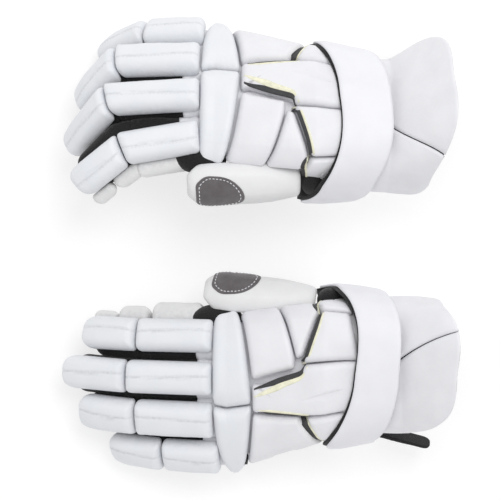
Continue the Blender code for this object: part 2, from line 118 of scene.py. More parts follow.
# How far each finger's mesh side reaches towards the next finger, mm
WEBS = {
    "right": {"index": 11, "middle": 5, "ring": 4, "pinky": 0},
    "left": {"index": 6, "middle": 6, "ring": 4.5, "pinky": 0},
}
# Black mesh at the two ends of the thumb: (name, half length, middle, (half width, half height))
THUMB_WEBS = [("thumb_web", 22, (114, 60, -16), (12, 13)), ("thumb_heel", 10, (19, 75, -22), (10, 13))]
# Pads along the thumb side of the index finger: (piece, first x, last x, lower z, upper z)
SIDE_PADS = [
    ("base", "base", 10, 56, -16, 3), ("tip", "tip", -3, 25, -15, 2), ("tip_end", "tip", 27, 49, -13, 1)
]
SIDE_PAD_REACH = {"right": (11, 11, 10), "left": (17, 13, 8)}  # how far each stands out, mm
INSETS = (0.3, 0.7, 1.2, 1.8, 2.6, 3.6, 4.8, 6.4, 8.6, 11.5, 15, 20, 27, 36)  # of a pad's rings, mm

# Outlines on the back of the hand: (x, angle from the middle of the back, corner radius)
BACK_PADS = {
    "knuckle_roll_radial": [(116.2, 82, 5), (95.4, 82, 4), (82.9, -4, 3), (116.2, -1, 3)],
    "knuckle_roll_ulnar": [
        (116.2, -1.8, 3), (82.9, -4.8, 3), (90.4, -64, 14), (93.4, -87, 4), (101.6, -87, 4), (107.6, -66, 14),
        (114, -30, 30),
    ],
    "index": [(93.6, 81, 4), (61, 81, 5), (45, 14.2, 4), (45.2, 8, 2), (82, 5.8, 4)],
    "thumb_root": [
        (60, 81, 5), (30, 81, 3), (24.5, 62, 10), (30, 39, 18), (37.6, 16.2, 2.5), (44, 14.4, 2.5),
    ],
    "wrist_radial": [
        (22.5, 61, 4), (28.4, 39, 18), (36, 16.6, 3), (37.4, 10.6, 2), (-9, 9.9, 3), (-5, 34.6, 20),
        (-1, 61, 4),
    ],
    "centre": [
        (82, 4.4, 3), (75, 2.4, 6), (40, 5.2, 9), (36.4, 9.6, 2.5), (-9, 8.9, 3), (-7, -28.4, 3),
        (33, -23.2, 10), (82, -8.7, 3),
    ],
    "wrist_ulnar": [(36, -24.4, 3), (-7, -29.6, 3), (2, -54, 12), (9, -80, 4), (18, -80, 4), (30.5, -45, 14)],
    "ulnar": [
        (82, -9.9, 4), (43, -20.8, 3), (32.6, -43, 14), (21, -80, 10), (29, -101, 4), (85, -101, 6),
        (90, -80, 14), (87.4, -57, 20),
    ],
    "thumb_side": [(23, 62.5, 3), (28.5, 80, 6), (27, 122, 3), (8, 122, 5), (-3, 62.5, 3)],
}
PAD_STANDS_FOR = {
    "index": "back_pad_index",
    "thumb_root": "back_pad_wedge",
    "wrist_radial": "back_pad_wedge",
    "centre": "back_pad_centre",
    "wrist_ulnar": "back_pad_ulnar",
    "ulnar": "back_pad_ulnar",
    "knuckle_roll_radial": "knuckle_roll_radial",
    "knuckle_roll_ulnar": "knuckle_roll_ulnar",
}
# Piping on the back pads: (path of (x, angle), width, side on which its cream edge lies, taper's length)
PIPING = {
    "index_edge": ([(80, 1.8), (70, 2.2), (56, 3.3), (42, 4.6), (37.8, 6.6), (36.2, 9.6)], 2.8, 1, 24),
    "radial": ([(40, 12.6), (37, 13.4), (34.2, 17.6), (27.4, 37), (24, 52), (23, 61)], 3.2, 1, 4),
    "ulnar_edge": ([(77, -8.9), (56, -14.6), (34, -22.4)], 1.9, -1, 12),
    "ulnar": ([(40.5, -23.4), (32.2, -42), (26, -60), (20, -80)], 4.0, -1, 4),
    "thumb": ([(27, 61), (29.4, 72), (28, 86), (27, 104)], 3.4, 1, 5),
}
THUMB_PATCH = [
    (89, 36, 3), (81, 15, 5), (60, 22, 24), (47.5, 62, 9), (48.5, 93, 5), (69, 108, 8), (88, 104, 4)
]
THUMB_PAD = [
    (0, 124, 2), (0, -12, 2), (26, -36, 6), (86, -42, 3), (95.5, -6, 2.5), (95.5, 84, 2.5), (86, 124, 3)
]


# --- small helpers ------------------------------------------------------------------------------------


def mm(*values):
    return Vector(values) * MM


def between(a, b, t):
    return a + (b - a) * t


def smooth(t):
    """0 below 0, 1 above 1, and an S-curve in between."""
    t = min(1, max(0, t))
    return t * t * (3 - 2 * t)


def rotation(degrees, axis):
    return Matrix.Rotation(math.radians(degrees), 4, axis)


def signed_power(value, power):
    return math.copysign(abs(value) ** power, value)


def joint_place(name):
    return Vector(next(j for j in frame["joints"] if j["name"] == name)["pos_m"])


# --- materials ----------------------------------------------------------------------------------------


class Look:
    """A Principled material, with short calls for the texture nodes that feed it."""

    def __init__(self, name, roughness, specular=0.4):
        self.material = bpy.data.materials.new(name)
        self.material.use_nodes = True
        self.nodes = self.material.node_tree.nodes
        self.shader = self.nodes["Principled BSDF"]
        self.shader.inputs["Roughness"].default_value = roughness
        self.shader.inputs["Specular IOR Level"].default_value = specular
        self.place = self.nodes.new("ShaderNodeTexCoord").outputs["Object"]

    def link(self, source, target):
        self.material.node_tree.links.new(source, target)

    def noise(self, feature_mm, detail=3):
        made = self.nodes.new("ShaderNodeTexNoise")
        made.inputs["Scale"].default_value = 1 / (feature_mm * MM)
        made.inputs["Detail"].default_value = detail
        self.link(self.place, made.inputs["Vector"])
        return made.outputs["Fac"]

    def cells(self, feature_mm, feature="F1"):
        made = self.nodes.new("ShaderNodeTexVoronoi")
        made.feature = feature
        made.inputs["Scale"].default_value = 1 / (feature_mm * MM)
        self.link(self.place, made.inputs["Vector"])
        return made.outputs["Distance"]

    def bands(self, feature_mm, direction):
        made = self.nodes.new("ShaderNodeTexWave")
        made.bands_direction = direction
        made.inputs["Scale"].default_value = 0.314 / (feature_mm * MM)
        made.inputs["Distortion"].default_value = 0.6
        self.link(self.place, made.inputs["Vector"])
        return made.outputs["Fac"]

    def attribute(self, name):
        made = self.nodes.new("ShaderNodeAttribute")
        made.attribute_name = name
        return made.outputs["Fac"]

    def ramp(self, fac, low, high):
        """fac from low to high becomes 0 to 1."""
        made = self.nodes.new("ShaderNodeMapRange")
        made.inputs["From Min"].default_value = low
        made.inputs["From Max"].default_value = high
        self.link(fac, made.inputs["Value"])
        return made.outputs["Result"]

    def math(self, operation, a, b):
        made = self.nodes.new("ShaderNodeMath")
        made.operation = operation
        for source, target in zip((a, b), made.inputs):
            if isinstance(source, (int, float)):
                target.default_value = source
            else:
                self.link(source, target)
        return made.outputs[0]

    def blend(self, fac, first, second):
        """Colour between two colours or colour outputs."""
        made = self.nodes.new("ShaderNodeMix")
        made.data_type = "RGBA"
        self.link(fac, made.inputs[0])
        for source, target in ((first, made.inputs[6]), (second, made.inputs[7])):
            if isinstance(source, tuple):
                target.default_value = (*source, 1)
            else:
                self.link(source, target)
        return made.outputs[2]

    def colour(self, source):
        self.link(source, self.shader.inputs["Base Color"])

    def roughness(self, fac, low, high):
        made = self.nodes.new("ShaderNodeMapRange")
        made.inputs["To Min"].default_value = low
        made.inputs["To Max"].default_value = high
        self.link(fac, made.inputs["Value"])
        self.link(made.outputs["Result"], self.shader.inputs["Roughness"])

    def bumps(self, *layers):
        """layers of (height output, depth in mm), each over the one before."""
        normal = None
        for height, depth in layers:
            made = self.nodes.new("ShaderNodeBump")
            made.inputs["Distance"].default_value = depth * MM
            made.inputs["Strength"].default_value = 1
            self.link(height, made.inputs["Height"])
            if normal:
                self.link(normal, made.inputs["Normal"])
            normal = made.outputs["Normal"]
        self.link(normal, self.shader.inputs["Normal"])


def leather(name, colour, tint, roughness=0.5):
    """Smooth coated leather: fine pores, faint creases, soft stains and painted shade that darkens the creases
    at each seam.
    """
    look = Look(name, roughness, 0.35)
    pores = look.cells(0.9)
    creases = look.cells(5.5, "DISTANCE_TO_EDGE")
    clouds = look.noise(24, 4)
    body = look.blend(look.ramp(clouds, 0.35, 0.68), colour, tint)
    # Painted shade: where the seam attribute marks the creases at pad edges and sewn channels, the colour
    # darkens to grey, broken up by noise.
    painted_shade_colour = tuple(c * 0.72 for c in tint)
    seam = look.math("MULTIPLY", look.attribute("seam"), look.ramp(look.noise(3.5, 2), 0.2, 0.75))
    look.colour(look.blend(seam, body, painted_shade_colour))
    look.roughness(look.noise(6), roughness - 0.1, roughness + 0.12)
    look.bumps((look.ramp(creases, 0, 0.12), 0.035), (look.noise(9, 4), 0.22), (pores, 0.03))
    return look.material


def mesh_fabric(name, colour, hole):
    """Stretch mesh: small round holes in close rows."""
    look = Look(name, 0.75, 0.25)
    holes = look.ramp(look.cells(1.5), 0.22, 0.42)
    fibre = look.noise(0.5, 2)
    look.colour(look.blend(holes, hole, colour))
    look.shader.inputs["Sheen Weight"].default_value = 0.15
    look.bumps((look.noise(11, 3), 0.5), (holes, 0.25), (fibre, 0.05))
    return look.material


def suede(name, colour, tint):
    look = Look(name, 0.92, 0.15)
    nap = look.noise(0.7, 5)
    look.colour(look.blend(look.ramp(look.noise(7, 6), 0.3, 0.7), colour, tint))
    look.shader.inputs["Sheen Weight"].default_value = 0.3
    look.shader.inputs["Sheen Roughness"].default_value = 0.6
    look.bumps((look.noise(5, 4), 0.15), (nap, 0.12))
    return look.material


def webbing(name, colour, tint, thread_mm=0.8):
    """Close plain weave under a soft coating."""
    look = Look(name, 0.62, 0.3)
    weave = look.math("MULTIPLY", look.bands(thread_mm, "X"), look.bands(thread_mm, "Y"))
    look.colour(look.blend(look.ramp(look.noise(18, 3), 0.35, 0.7), colour, tint))
    look.roughness(weave, 0.55, 0.7)
    look.bumps((look.noise(16, 3), 0.35), (weave, 0.05), (look.noise(0.6, 2), 0.02))
    return look.material


def hook_fabric(name, colour):
    """Hook tape: stiff little hooks in rows."""
    look = Look(name, 0.7, 0.4)
    hooks = look.ramp(look.cells(1.1), 0.15, 0.5)
    look.colour(look.blend(hooks, tuple(c * 2.5 for c in colour), colour))
    look.bumps((hooks, 0.5), (look.noise(0.4, 2), 0.2))
    return look.material


def coated(name, colour, roughness=0.5):
    """Piping, trim and thread: a thin coated cord or tape with a faint grain."""
    look = Look(name, roughness, 0.35)
    tint = tuple(c * 0.82 for c in colour)
    look.colour(look.blend(look.ramp(look.noise(4, 4), 0.35, 0.7), colour, tint))
    look.bumps((look.noise(1.1, 3), 0.08),)
    return look.material


WHITE, COOL_WHITE = (0.84, 0.84, 0.87), (0.82, 0.83, 0.86)
MATERIALS = {
    "white_leather": leather("white_leather_look", WHITE, (0.80, 0.80, 0.83)),
    "pale_leather": leather("pale_leather_look", COOL_WHITE, (0.79, 0.81, 0.845)),
    "warm_leather": leather("warm_leather_look", (0.81, 0.81, 0.815), (0.77, 0.77, 0.775)),
    "black_mesh": mesh_fabric("black_mesh_look", (0.012, 0.012, 0.013), (0.002, 0.002, 0.002)),
    "black_lining": mesh_fabric("black_lining_look", (0.014, 0.014, 0.015), (0.006, 0.006, 0.006)),
    "grey_suede": suede("grey_suede_look", (0.105, 0.095, 0.10), (0.14, 0.13, 0.135)),
    "white_webbing": webbing("white_webbing_look", (0.85, 0.85, 0.885), (0.82, 0.82, 0.86)),
    "hook_tape": hook_fabric("hook_tape_look", (0.012, 0.012, 0.013)),
    "piping": coated("piping_look", (0.055, 0.055, 0.058), 0.55),
    "cream": coated("cream_look", (0.92, 0.90, 0.70), 0.6),
    "thread": coated("thread_look", (0.80, 0.80, 0.83), 0.6),
}


# --- mesh building --------------------------------------------------------------------------------------


def add_piece(name, points, faces, matrix, look, seam=None):
    """Link a mesh object whose points, given in a glove's own frame, are set in place by matrix."""
    mesh = bpy.data.meshes.new(name)
    mesh.from_pydata([matrix @ p for p in points], [], faces)
    # seam, when given, is a mask of painted shade for the creases, which the leather looks darken by.
    if seam is not None:
        mesh.attributes.new("seam", "FLOAT", "POINT").data.foreach_set("value", seam)
    bm = bmesh.new()
    bm.from_mesh(mesh)
    caps = [face for face in bm.faces if len(face.verts) > 4]
    bmesh.ops.triangulate(bm, faces=caps, ngon_method="BEAUTY")
    bmesh.ops.recalc_face_normals(bm, faces=bm.faces)
    bm.to_mesh(mesh)
    bm.free()
    mesh.shade_smooth()
    mesh.materials.append(MATERIALS[look])
    piece = bpy.data.objects.new(name, mesh)
    bpy.context.scene.collection.objects.link(piece)
    return piece


def ring_faces(rings, closed=False, capped=True):
    """Faces of a loft through rings of equal count, numbered one after another."""
    count = len(rings[0])
    faces = []
    pairs = [(i, i + 1) for i in range(len(rings) - 1)]
    if closed:
        pairs.append((len(rings) - 1, 0))
    for a, b in pairs:
        for j in range(count):
            k = (j + 1) % count
            faces.append((a * count + j, a * count + k, b * count + k, b * count + j))
    if capped and not closed:
        faces.append(tuple(range(count)))
        faces.append(tuple(range((len(rings) - 1) * count, len(rings) * count)))
    return faces


def add_loft(name, rings, matrix, look, closed=False):
    """Solid through rings of points: capped at its ends, or closed into a hollow tube."""
    points = [p for ring in rings for p in ring]
    return add_piece(name, points, ring_faces(rings, closed), matrix, look)


def add_tube(name, outer, inner, matrix, look):
    """Hollow tube between two lists of rings."""
    return add_loft(name, outer + inner[::-1], matrix, look, closed=True)


def resampled(path, step, closed=False):
    """Points at an even spacing of about step along a path, as an array."""
    path = np.array([tuple(p) for p in path], float)
    if closed:
        path = np.vstack([path, path[:1]])
    lengths = np.concatenate([[0], np.cumsum(np.linalg.norm(np.diff(path, axis=0), axis=1))])
    count = max(4, round(lengths[-1] / step))
    at = np.linspace(0, lengths[-1], count + 1)[: count if closed else count + 1]
    return np.column_stack([np.interp(at, lengths, path[:, k]) for k in range(path.shape[1])])


def rounded(corners):
    """Outline of (u, v, radius) corners, with every corner rounded, as evenly spaced points."""
    places = [Vector(c[:2]) for c in corners]
    path = []
    for i, (at, (_, _, radius)) in enumerate(zip(places, corners)):
        before, after = places[i - 1], places[(i + 1) % len(places)]
        ends = []
        for other in (before, after):
            reach = min(radius, (other - at).length * 0.48)
            ends.append(at + (other - at).normalized() * reach)
        for k in range(9):
            t = k / 8
            path.append(ends[0] * (1 - t) ** 2 + at * 2 * t * (1 - t) + ends[1] * t * t)
    outline = resampled(path, PAD_STEP, closed=True)
    following = np.roll(outline, -1, axis=0)
    area = np.sum(outline[:, 0] * following[:, 1] - following[:, 0] * outline[:, 1])
    return outline if area > 0 else outline[::-1].copy()


def smooth_path(corners, step=1.0):
    """Catmull-Rom curve through corners, at an even spacing."""
    at = [Vector(c) for c in corners]
    at = [at[0] * 2 - at[1], *at, at[-1] * 2 - at[-2]]
    path = []
    for a, b, c, d in zip(at, at[1:], at[2:], at[3:]):
        for k in range(8):
            t = k / 8
            bend, twist = a * 2 - b * 5 + c * 4 - d, b * 3 - a - c * 3 + d
            path.append((b * 2 + (c - a) * t + bend * t**2 + twist * t**3) / 2)
    path.append(at[-2])
    return resampled(path, step)


def distance_to(points, path, closed=False):
    """Distance from each 2-D point to the nearest stretch of a path."""
    a = path
    b = np.roll(path, -1, axis=0)
    if not closed:
        a, b = a[:-1], b[:-1]
    along = b - a
    away = points[:, None, :] - a[None]
    squares = np.maximum(np.einsum("sk,sk->s", along, along), 1e-9)
    t = np.clip(np.einsum("psk,sk->ps", away, along) / squares, 0, 1)
    return np.linalg.norm(away - along[None] * t[..., None], axis=2).min(axis=1)


def spine_targets(outline):
    """For each outline point, the place on the outline's long middle line that its rings close in on."""
    middle = outline.mean(axis=0)
    _, _, axes = np.linalg.svd(outline - middle, full_matrices=False)
    along, across = (outline - middle) @ axes[0], (outline - middle) @ axes[1]
    reach = max(0.0, (np.ptp(along) - np.ptp(across)) / 2) * 0.9
    return middle + np.clip(along, -reach, reach)[:, None] * axes[0]


class Pad:
    """A stuffed pad over an outline: a low rolled wall, a round shoulder and a crowned top.

    surface(u, v, height) places a point, thick(u, v) is the pad's full height, and channels are sewn
    grooves across it as (path, depth, width). wrinkle(u, v) scales the pinched folds.
    """

    def __init__(self, outline, surface, thick, shoulder=6.0, crown=0.8, channels=(), wrinkle=None, seed=0.0):
        self.outline, self.surface, self.thick = outline, surface, thick
        self.shoulder, self.crown, self.channels = shoulder, crown, channels
        self.wrinkle, self.seed = wrinkle, seed

    def relief(self, u, v, edge, along):
        """Fine shape of the leather at one place: soft lumps, puckers along the seam and pinched folds."""
        lumps = noise.noise(Vector((u / 17, v / 17, self.seed))) * 0.55
        pucker = noise.noise(Vector((along / 2.6, edge / 9, self.seed + 7))) * 0.55 * math.exp(-edge / 3.2)
        folds = 0
        if self.wrinkle:
            amount = self.wrinkle(u, v)
            if amount > 0.01:
                bent = noise.noise(Vector((u / 13, v / 13, self.seed + 3))) * 2.2
                folds = amount * noise.noise(Vector((u / 1.9 + bent, v / 11, self.seed + 5)))
        return (lumps + pucker) * min(1, edge / 1.2) + folds * min(1, edge / 2)

    def build(self, name, matrix, look):
        outline = self.outline
        count = len(outline)
        targets = spine_targets(outline)
        tangent = np.roll(outline, -1, axis=0) - np.roll(outline, 1, axis=0)
        inward = np.column_stack([-tangent[:, 1], tangent[:, 0]])
        inward /= np.linalg.norm(inward, axis=1)[:, None]
        depth = np.maximum(np.einsum("ij,ij->i", targets - outline, inward), 3.0)

        def inset_ring(inset):
            share = 0.95 * (1 - np.exp(-inset / depth))
            return outline + (targets - outline) * share[:, None]

        # Each point also gets a share of painted shade, for the darkened creases between pads.
        rings, points, crease_shade = [], [], []

        def add_ring(places, heights, seam):
            ring = [self.surface(u, v, h) for (u, v), h in zip(places, heights)]
            rings.append(ring)
            points.extend(ring)
            crease_shade.extend(seam)

        full = np.array([self.thick(u, v) for u, v in outline], float)
        # Painted shade: the floor of the crease round the pad is fully shaded, the wall less, fading towards
        # the shoulder.
        for inset in (22, 9, 3.5, 1.3):
            add_ring(inset_ring(inset), np.zeros(count), np.ones(count))
        for inset, share in ((0.55, 0.08), (0.12, 0.2), (0, WIDEST)):
            add_ring(inset_ring(inset), full * share, np.full(count, 0.85 - share))
        for inset in INSETS:
            places = inset_ring(inset)
            edge = distance_to(places, outline, closed=True)
            heights = np.array([self.thick(u, v) for u, v in places], float)
            turn = np.clip(edge / self.shoulder, 0, 1)
            heights *= WIDEST + (1 - WIDEST) * np.sqrt(1 - (1 - turn) ** 2)
            heights += self.crown * (1 - np.exp(-edge / 9))
            # Painted shade along the pad's edge and in its sewn channels.
            seam = np.exp(-edge / 1.3) * 0.5
            for path, deep, wide in self.channels:
                near = np.exp(-((distance_to(places, path) / wide) ** 2))
                heights -= deep * near
                seam = np.maximum(seam, near * 0.8)
            relief = [self.relief(u, v, e, j * PAD_STEP) for j, ((u, v), e) in enumerate(zip(places, edge))]
            add_ring(places, heights + relief, seam)
        return add_piece(name, points, ring_faces(rings), matrix, look, crease_shade)


def finish_piece(piece, body, stands_for=()):
    """Say what a piece rides on, and hide the solids it stands for."""
    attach(piece, body)
    if stands_for:
        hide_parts(*stands_for)
    return piece


# --- draping strips and stitches over finished pieces ---------------------------------------------------


class Cover:
    """The outer surface of some pieces, to lay piping and thread on."""

    def __init__(self, pieces, matrix):
        points, faces = [], []
        inverse = matrix.inverted()
        for piece in pieces:
            start = len(points)
            world = inverse @ piece.matrix_world
            points.extend(world @ v.co for v in piece.data.vertices)
            faces.extend(tuple(start + i for i in p.vertices) for p in piece.data.polygons)
        self.tree = BVHTree.FromPolygons(points, faces)

    def under(self, surface, u, v, from_height=30):
        """Where a line straight down onto surface(u, v) meets the cover, and which way is up there."""
        high, low = surface(u, v, from_height), surface(u, v, 0)
        up = (high - low).normalized()
        hit, _, _, _ = self.tree.ray_cast(high, -up)
        return (hit if hit else low), up


def strip_rings(cover, surface, path, width, offset, rise, taper=4, deepest=1.4):
    """Cross-sections of a low strip along a path, tapering at both ends, draped on the cover.

    It bridges the creases between pads: no part of it lies more than deepest under its highest edge.
    """
    path = np.array(path)
    tangent = np.gradient(path, axis=0)
    tangent /= np.linalg.norm(tangent, axis=1)[:, None]
    side = np.column_stack([-tangent[:, 1], tangent[:, 0]])
    across = np.linspace(-1, 1, 7)
    places = np.zeros((len(path), len(across), 2))
    heights = np.zeros((len(path), len(across)))
    for i, place in enumerate(path):
        starting, ending = smooth((i + 0.5) / taper), smooth((len(path) - i) / 4)
        half = width / 2 * (0.3 + 0.7 * ending) * (0.25 + 0.75 * starting)
        for k, t in enumerate(across):
            u, v = places[i, k] = place + side[i] * (offset + half * t)
            hit, up = cover.under(surface, u, v)
            heights[i, k] = (hit - surface(u, v, 0)).dot(up) / MM
    heights = np.maximum(heights, heights.max(axis=1)[:, None] - deepest)
    spread = np.pad(heights, ((3, 3), (0, 0)), mode="edge")
    heights = sum(spread[k : k + len(path)] for k in range(7)) / 7
    rings = []
    for row, levels in zip(places, heights):
        lifts = [0.12 + rise * math.sqrt(max(0, 1 - t * t)) for t in across]
        top = [surface(u, v, level + lift) for (u, v), level, lift in zip(row, levels, lifts)]
        bottom = [surface(u, v, level - 0.9) for (u, v), level in zip(row, levels)]
        rings.append(top + bottom[::-1])
    return rings


def add_piping(name, cover, surface, path, width, cream_side, taper, matrix, body):
    """Dark piping with a thin cream edge beside it."""
    band = strip_rings(cover, surface, path, width, 0, 0.75, taper)
    finish_piece(add_loft(f"{name}_piping", band, matrix, "piping"), body)
    edge = strip_rings(cover, surface, path, 2.0, cream_side * (width / 2 + 0.7), 0.45, taper)
    finish_piece(add_loft(f"{name}_piping_edge", edge, matrix, "cream"), body)


SIX_WAYS = [2 * math.pi * k / 6 for k in range(6)]


def add_stitches(name, cover, surface, path, matrix, body, length, gap, radius):
    """A row of raised thread stitches along a path: their length, the gap between them and their radius."""
    spacing = 0.5
    path = resampled(path, spacing)
    period = max(3, round((length + gap) / spacing))
    reach = max(2, round(length / spacing))
    points, faces = [], []
    for start in range(0, len(path) - reach, period):
        rings = []
        for k in range(reach + 1):
            t = k / reach
            hit, up = cover.under(surface, *path[start + k])
            ahead, _ = cover.under(surface, *path[min(start + k + 1, len(path) - 1)])
            back, _ = cover.under(surface, *path[max(start + k - 1, 0)])
            along = (ahead - back).normalized()
            sideways = along.cross(up).normalized()
            centre = hit + up * MM * (0.34 * math.sin(math.pi * t) - 0.08)
            r = radius * MM * (0.55 + 0.45 * math.sin(math.pi * t))
            rings.append([centre + (sideways * math.cos(a) + up * math.sin(a)) * r for a in SIX_WAYS])
        first = len(points)
        points.extend(p for ring in rings for p in ring)
        faces.extend(tuple(first + i for i in f) for f in ring_faces(rings))
    finish_piece(add_piece(name, points, faces, matrix, "thread"), body)


# --- the hand -------------------------------------------------------------------------------------------


def hand_section(x):
    """Centre, half-width, heights over and under the centre, and arch curvature of the hand at x."""
    t = min(1, max(0, x / HAND_FRONT))
    thumb, little = between(*THUMB_EDGE, t), between(*LITTLE_EDGE, t**1.6)
    centre = (thumb + little) / 2, between(WRIST_Z, 0, t)
    return centre, (thumb - little) / 2, between(*OVER, t), between(*UNDER, t), t / KNUCKLE_ARCH


def on_hand(x, angle, offset):
    """Point over the hand's section: angle from the middle of the back towards the thumb."""
    (yc, zc), half, over, under, curve = hand_section(x)
    a = math.radians(angle)
    height = over if math.cos(a) > 0 else under
    slope = Vector((math.sin(a) / half, math.cos(a) / height)).normalized()
    s = half * signed_power(math.sin(a), 2 / SUPERELLIPSE) + slope.x * offset
    n = height * signed_power(math.cos(a), 2 / SUPERELLIPSE) + slope.y * offset
    if curve == 0:
        return mm(x, yc + s, zc + n)
    radius = 1 / curve
    across, up = (radius + n) * math.sin(s / radius), (radius + n) * math.cos(s / radius)
    return mm(x, yc + across, zc + up - radius)


def over_hand(u, v, height):
    """The hand's surface over flat outlines, where v is the angle laid out in millimetres."""
    return on_hand(u, v / ANGLE_MM, height + 0.4)


def back_share(angle, power):
    """1 on the back of the wrist, a little towards the thumb, falling to 0 round the sides."""
    return max(0, math.cos(math.radians(angle - WRIST_SKEW))) ** power


def back_pad_height(u, v):
    """Full height of a back pad: it thins out under the strap and round the sides of the hand."""
    along = min(1, max(0, (u + 6) / 26))
    side = min(1, max(0, (abs(v / ANGLE_MM) - 50) / 40))
    return between(WRIST_PAD_THICK, BACK_PAD_THICK, along) * (1 - 0.45 * side)


def roll_height(u, v):
    """The knuckle roll stays fuller round its sides."""
    return back_pad_height(u, v) * (1 + 0.35 * smooth((abs(v / ANGLE_MM) - 50) / 30))


def flat_outline(corners, angle_mm=ANGLE_MM):
    return rounded([(x, angle * angle_mm, radius) for x, angle, radius in corners])


def add_hand(side, matrix):
    """White leather over the back of the hand and suede over the palm, each a thin curved sheet."""
    body = f"{side}_hand"
    columns, rows = 56, 36

    def sheet(name, first, last, look, lift, thick):
        rings = []
        for i in range(rows):
            t = i / (rows - 1)
            outer, inner = [], []
            for j in range(columns):
                angle = between(first, last, j / (columns - 1))
                x = between(between(-10, -33, back_share(angle, 1.5)), HAND_FRONT, t)
                wave = noise.noise(Vector((x / 12, angle / 14, 3))) * 0.5
                outer.append(on_hand(x, angle, lift + wave))
                inner.append(on_hand(x, angle, lift + wave - thick))
            rings.append(outer + inner[::-1])
        return add_loft(name, rings, matrix, look)

    back = sheet(f"{side}_hand_back_leather", -108, 100, "white_leather", 0.2, 1.6)
    finish_piece(back, body, [f"{side}_hand_shell"])
    palm = sheet(f"{side}_palm_suede", 99, 253, "grey_suede", 0.6, 1.8)
    finish_piece(palm, body)
    for name, first, last in (("back", -107, 100), ("palm", 100, 252)):
        lining = sheet(f"{side}_{name}_lining", first, last, "black_lining", -1.7, 0.8)
        finish_piece(lining, body)


def add_back_pads(side, matrix):
    body = f"{side}_hand"
    pads = []
    for number, (name, corners) in enumerate(BACK_PADS.items()):
        roll = name.startswith("knuckle")
        look = "pale_leather" if roll else "white_leather"
        height, shoulder = (roll_height, 6.5) if roll else (back_pad_height, 4.6)
        pad = Pad(flat_outline(corners), over_hand, height, shoulder, seed=number * 3.7)
        piece = pad.build(f"{side}_{name}_cushion", matrix, look)
        node = PAD_STANDS_FOR.get(name)
        finish_piece(piece, body, [f"{side}_{node}"] if node else ())
        pads.append(piece)
    cover = Cover(pads, matrix)
    for name, (corners, width, cream_side, taper) in PIPING.items():
        path = smooth_path([(x, angle * ANGLE_MM) for x, angle in corners])
        add_piping(f"{side}_{name}", cover, over_hand, path, width, cream_side, taper, matrix, body)


# --- fingers --------------------------------------------------------------------------------------------


def half_bend(bend, sideways, of_next=False):
    """Normal of the plane halfway between a piece and the next one, in either piece's frame."""
    turn = (rotation(sideways, "Z") @ rotation(bend, "Y")).to_3x3()
    other = turn.inverted() if of_next else turn
    return (Vector((1, 0, 0)) + other @ Vector((1, 0, 0))).normalized()


def mitre(x_hinge, away, normal, gap=0.25, open_back=1.2):
    """x of a finger piece's end at (y, z), near the plane that halves the bend at its hinge."""

    def x_at(y, z):
        offset = away * (gap + math.tan(math.radians(open_back)) * max(0, z))
        return x_hinge + (offset - normal.y * y - normal.z * z) / normal.x

    return x_at


def leaned(y, z, lean):
    """Turn a section's point about the middle of the stall."""
    c, s = math.cos(math.radians(lean)), math.sin(math.radians(lean))
    z += HINGE_ABOVE_STALL
    return y * c + z * s, -HINGE_ABOVE_STALL + z * c - y * s


def finger_frames(side, finger, glove):
    """Frames of the finger's root in the hand, of its base piece and of its tip piece."""
    arch, knuckle_x, _, base_length, _ = FINGERS[finger]
    pitch, spread, bend, swing = GLOVES[side]["curl"][finger]
    radius = FINGER_ARCH + HINGE_ABOVE_STALL
    a = math.radians(arch)
    place = mm(knuckle_x, KNUCKLE_Y + radius * math.sin(a), radius * math.cos(a) - FINGER_ARCH)
    root = glove @ Matrix.Translation(place) @ rotation(-arch * HINGE_TILT, "X")
    base = root @ rotation(spread, "Z") @ rotation(pitch, "Y")
    tip = base @ Matrix.Translation(mm(base_length, 0, 0)) @ rotation(swing, "Z") @ rotation(bend, "Y")
    return root, base, tip


def bent_station(s, before, after, reach=9.0):
    """Frame at s along a sleeve that runs along before's x axis and turns into after's."""
    t = smooth((s + reach) / (2 * reach))
    place = (before @ mm(s, 0, 0)).lerp(after @ mm(s, 0, 0), t)
    turn = before.to_quaternion().slerp(after.to_quaternion(), t)
    return place, turn


def sleeve_ring(side_sign, s, before, after, section, lean):
    """One ring of a sleeve in world space; section is a list of (y, z) before its lean."""
    place, turn = bent_station(s, before, after)
    ring = []
    for y, z in section:
        y, z = leaned(y, z, lean)
        ring.append(place + turn @ mm(0, side_sign * y, z))
    return ring


def stall_outline(width, grow, first=0.0, last=360.0, count=40):
    """Oval section of a finger sleeve, narrower on the palm side, as (y, z)."""
    points = []
    for j in range(count):
        share = j / count if last - first >= 360 else j / (count - 1)
        a = math.radians(between(first, last, share))
        y = (width / 2 + grow) * signed_power(math.cos(a), 0.7)
        z = (STALL_HEIGHT / 2 + grow) * signed_power(math.sin(a), 0.75)
        narrow = 1 - 0.2 * max(0, -z / (STALL_HEIGHT / 2))
        points.append((y * narrow, z - HINGE_ABOVE_STALL))
    return points


def proper(matrix):
    """The frame without its mirror: a right-handed frame whose y is turned round if it was mirrored."""
    turn = matrix.to_3x3()
    if turn.determinant() > 0:
        return matrix, 1
    return matrix @ Matrix.Diagonal((1, -1, 1, 1)), -1


